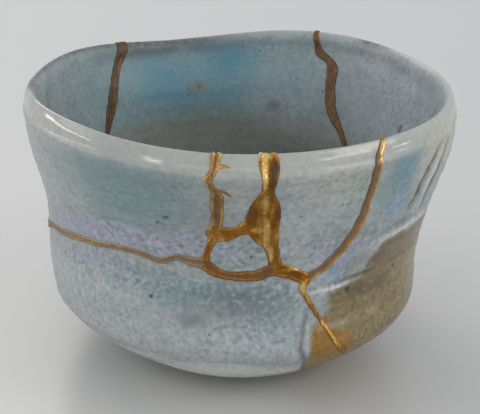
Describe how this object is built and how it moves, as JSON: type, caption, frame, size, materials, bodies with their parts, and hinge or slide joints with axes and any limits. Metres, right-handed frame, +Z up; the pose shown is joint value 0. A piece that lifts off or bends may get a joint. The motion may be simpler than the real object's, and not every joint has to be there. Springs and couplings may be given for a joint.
{
  "type": "kintsugi tea bowl",
  "caption": "Hand-thrown stoneware tea bowl with a waisted, flared wall and an uneven rim, broken into sherds and mended with raised gold lacquer seams.",
  "frame": {"origin": "under the middle of the bowl's outline, on the plane that its foot ring stands on", "axes": "+Z up, -Y towards the side with the H-shaped gold seams, +X to the right seen from that side"},
  "size_m": [0.1124, 0.1232, 0.0782],
  "materials": {
    "glazed_stoneware": "glossy reactive glaze, blue-grey with lilac, turquoise and olive",
    "gold_lacquer": "burnished, lumpy, dusted with gold powder"
  },
  "bodies": {
    "root": {"bowl_body": "glazed_stoneware", "rim_sherd_left": "glazed_stoneware", "rim_sherd_small": "glazed_stoneware", "rim_sherd_middle": "glazed_stoneware", "island_sherd": "glazed_stoneware", "gold_seam_network": "gold_lacquer", "gold_seam_back_right": "gold_lacquer"}
  },
  "joints": []
}
